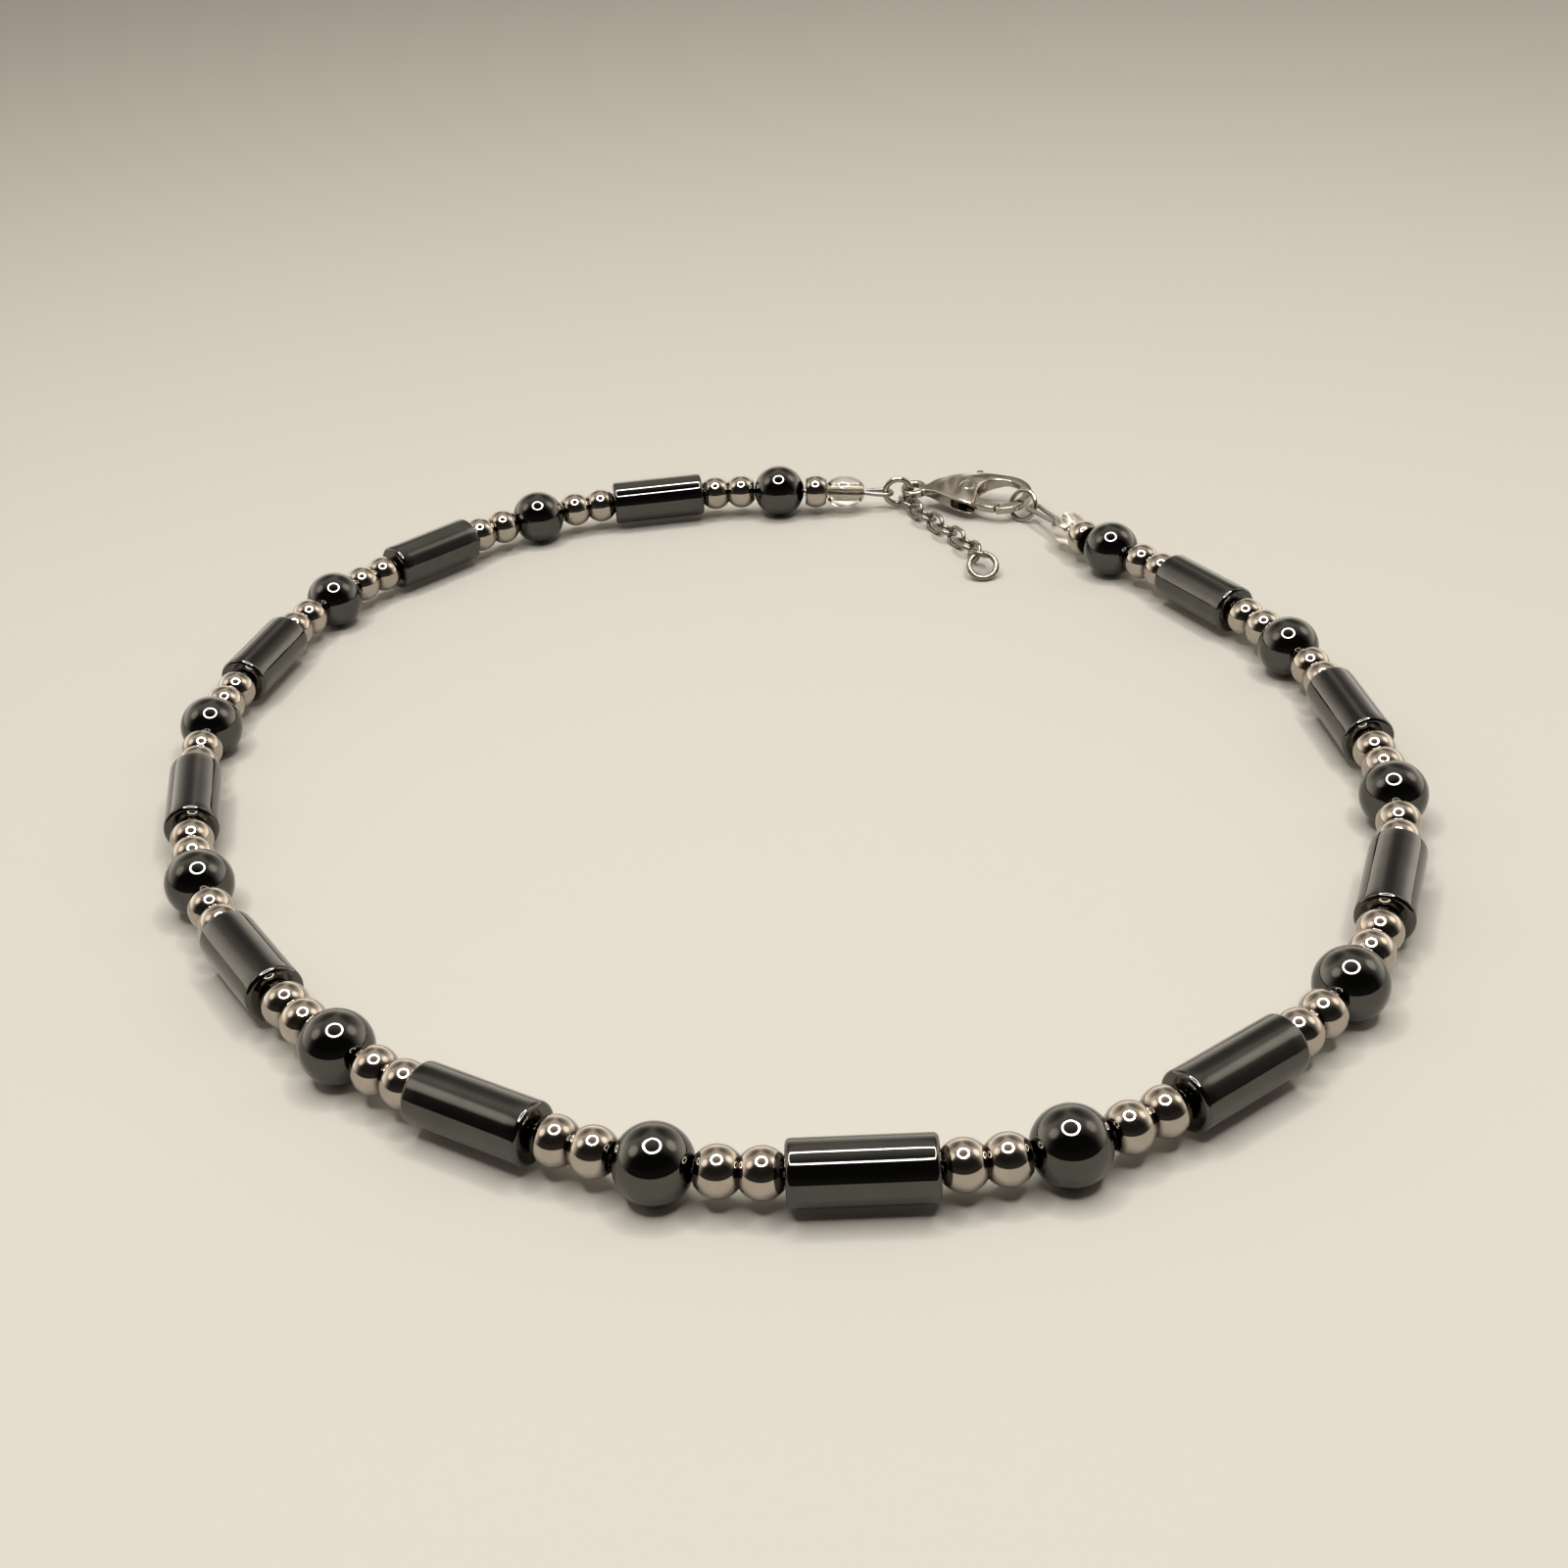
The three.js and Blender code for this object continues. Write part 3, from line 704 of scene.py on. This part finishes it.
def cast(node, body, voxel, rounds, reshape=None):
    """A CAD piece as a smooth casting, its edges rounded."""
    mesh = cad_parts[node].data.copy()
    mesh.name = node + "_cast"
    mesh.materials.clear()
    mesh.materials.append(PLATED)
    bm = bmesh.new()
    bm.from_mesh(mesh)
    bmesh.ops.remove_doubles(bm, verts=bm.verts, dist=1e-6)
    bm.to_mesh(mesh)
    bm.free()
    obj = bpy.data.objects.new(node + "_cast", mesh)
    bpy.context.scene.collection.objects.link(obj)
    remesh = obj.modifiers.new("surface", "REMESH")
    remesh.mode = "VOXEL"
    remesh.voxel_size = voxel * MM
    remesh.use_smooth_shade = True
    soften = obj.modifiers.new("rounding", "SMOOTH")
    soften.factor = 0.5
    soften.iterations = rounds
    if reshape:
        bpy.context.view_layer.update()
        seen = obj.evaluated_get(bpy.context.evaluated_depsgraph_get())
        obj.data = bpy.data.meshes.new_from_object(seen)
        obj.modifiers.remove(remesh)
        reshape(node, obj.data)
    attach(obj, body)
    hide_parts(node)


def chain_link():
    """A long oval of round wire in the XY plane."""
    straight = LINK_PITCH / 2 + LINK_WIRE - LINK_HALF_WIDTH
    path = []
    for side, first in ((1, -90), (-1, 90)):
        for i in range(LINK_STEPS + 1):
            angle = math.radians(first + 180 * i / LINK_STEPS)
            x = side * straight + LINK_HALF_WIDTH * math.cos(angle)
            path.append((x, LINK_HALF_WIDTH * math.sin(angle), 0.0))
    return swept(np.array(path), LINK_WIRE, LINK_SIDES, closed=True)


def build_chain():
    """Oval links along the extender's route, each turned a quarter from the last."""
    start = centre_of("jump_ring") * (1, 1, 0)
    bearings = along_curve([start + point for point in CHAIN_ROUTE], LINK_PITCH)
    shape = chain_link()
    for i in range(len(bearings) - 1):
        roll = Matrix.Rotation(math.radians(LINK_ROLLS[i % 2]), 3, "X")
        spot = (bearings[i] + bearings[i + 1]) / 2
        turn = basis(bearings[i + 1] - bearings[i]) @ roll
        link = place(f"chain_link_{i + 1:02d}", shape, CHAIN, spot, turn, crease=WIRE_CREASE)
        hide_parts("extender_chain")


# Floor, light and camera

def build_floor():
    mesh = bpy.data.meshes.new("floor")
    half = FLOOR_HALF * MM
    corners = [(-half, -half, 0), (half, -half, 0), (half, half, 0), (-half, half, 0)]
    mesh.from_pydata(corners, [], [(0, 1, 2, 3)])
    material = bpy.data.materials.new("floor")
    material.use_nodes = True
    shader = material.node_tree.nodes["Principled BSDF"]
    shader.inputs["Base Color"].default_value = (*FLOOR_COLOUR, 1.0)
    shader.inputs["Roughness"].default_value = FLOOR_ROUGHNESS
    shader.inputs["Specular IOR Level"].default_value = FLOOR_SHINE
    mesh.materials.append(material)
    floor = bpy.data.objects.new("floor", mesh)
    bpy.context.scene.collection.objects.link(floor)


def ring_light_mesh():
    """A flat ring whose face looks down."""
    bm = bmesh.new()
    rims = []
    for radius in (LAMP_INNER * MM, LAMP_OUTER * MM):
        angles = [2 * math.pi * k / LAMP_STEPS for k in range(LAMP_STEPS)]
        rims.append([bm.verts.new((radius * math.cos(a), radius * math.sin(a), 0.0)) for a in angles])
    for k in range(LAMP_STEPS):
        n = (k + 1) % LAMP_STEPS
        bm.faces.new((rims[0][k], rims[0][n], rims[1][n], rims[1][k]))
    mesh = bpy.data.meshes.new("ring_light")
    bm.to_mesh(mesh)
    bm.free()
    return mesh


def build_ring_light():
    """A ring lamp over the anklet. It shows in reflections but not to the camera."""
    material = bpy.data.materials.new("ring_light")
    material.use_nodes = True
    tree = material.node_tree
    tree.nodes.clear()
    emission = tree.nodes.new("ShaderNodeEmission")
    emission.inputs["Color"].default_value = (*LAMP_COLOUR, 1.0)
    emission.inputs["Strength"].default_value = LAMP_STRENGTH
    output = tree.nodes.new("ShaderNodeOutputMaterial")
    tree.links.new(emission.outputs["Emission"], output.inputs["Surface"])
    lamp = bpy.data.objects.new("ring_light", ring_light_mesh())
    lamp.data.materials.append(material)
    lamp.location = Vector(LAMP_PLACE) * MM
    lamp.visible_camera = False
    bpy.context.scene.collection.objects.link(lamp)


def reckoned(tree, operation, first, second):
    """The sum or product of two values."""
    node = tree.nodes.new("ShaderNodeMath")
    node.operation = operation
    tree.links.new(first, node.inputs[0])
    tree.links.new(second, node.inputs[1])
    return node.outputs["Value"]


def patch(tree, direction, way, inner, outer, strength):
    """A soft round patch of light or shade in the world, sizes in degrees."""
    dot = tree.nodes.new("ShaderNodeVectorMath")
    dot.operation = "DOT_PRODUCT"
    dot.inputs[1].default_value = Vector(way).normalized()
    tree.links.new(direction, dot.inputs[0])
    edges = (math.cos(math.radians(outer)), math.cos(math.radians(inner)))
    return ranged(tree, dot.outputs["Value"], edges, (0.0, strength), "SMOOTHSTEP")


def build_world():
    """A warm room, dark in front and above, pale low at the back, with soft light at the sides."""
    world = bpy.data.worlds.new("room")
    bpy.context.scene.world = world
    world.use_nodes = True
    tree = world.node_tree
    tree.nodes.clear()
    where = tree.nodes.new("ShaderNodeTexCoord").outputs["Generated"]
    split = tree.nodes.new("ShaderNodeSeparateXYZ")
    tree.links.new(where, split.inputs["Vector"])
    depth = ranged(tree, split.outputs["Y"], ROOM_DEPTH, ROOM_STRENGTH, "SMOOTHSTEP")
    height = ranged(tree, split.outputs["Z"], ROOM_HEIGHT, ROOM_SHARE, "SMOOTHSTEP")
    level = reckoned(tree, "MULTIPLY", depth, height)
    for way, inner, outer, strength in ROOM_PATCHES:
        level = reckoned(tree, "ADD", level, patch(tree, where, way, inner, outer, strength))
    background = tree.nodes.new("ShaderNodeBackground")
    background.inputs["Color"].default_value = (*ROOM_COLOUR, 1.0)
    tree.links.new(level, background.inputs["Strength"])
    output = tree.nodes.new("ShaderNodeOutputWorld")
    tree.links.new(background.outputs["Background"], output.inputs["Surface"])


def build_camera():
    dip, roll = math.radians(CAMERA_DIP), math.radians(CAMERA_ROLL)
    camera = bpy.data.objects.new("camera", bpy.data.cameras.new("camera"))
    camera.data.lens = CAMERA_LENS
    camera.data.sensor_width = CAMERA_SENSOR
    camera.data.clip_start = 0.005
    camera.data.clip_end = 20.0
    level = Matrix.Rotation(math.pi / 2 - dip, 4, "X")
    camera.matrix_world = Matrix.Translation(CAMERA_PLACE) @ level @ Matrix.Rotation(roll, 4, "Z")
    bpy.context.scene.collection.objects.link(camera)
    bpy.context.scene.camera = camera


build_strand()
build_wire()
for ring_node in RINGS:
    build_ring(ring_node)
cast("clasp_body", "anklet", BODY_VOXEL, BODY_ROUNDS, domed)
cast("clasp_lever", "clasp_lever", LEVER_VOXEL, LEVER_ROUNDS)
build_chain()
build_floor()
build_ring_light()
build_world()
build_camera()
bpy.context.scene.view_settings.view_transform = "Standard"
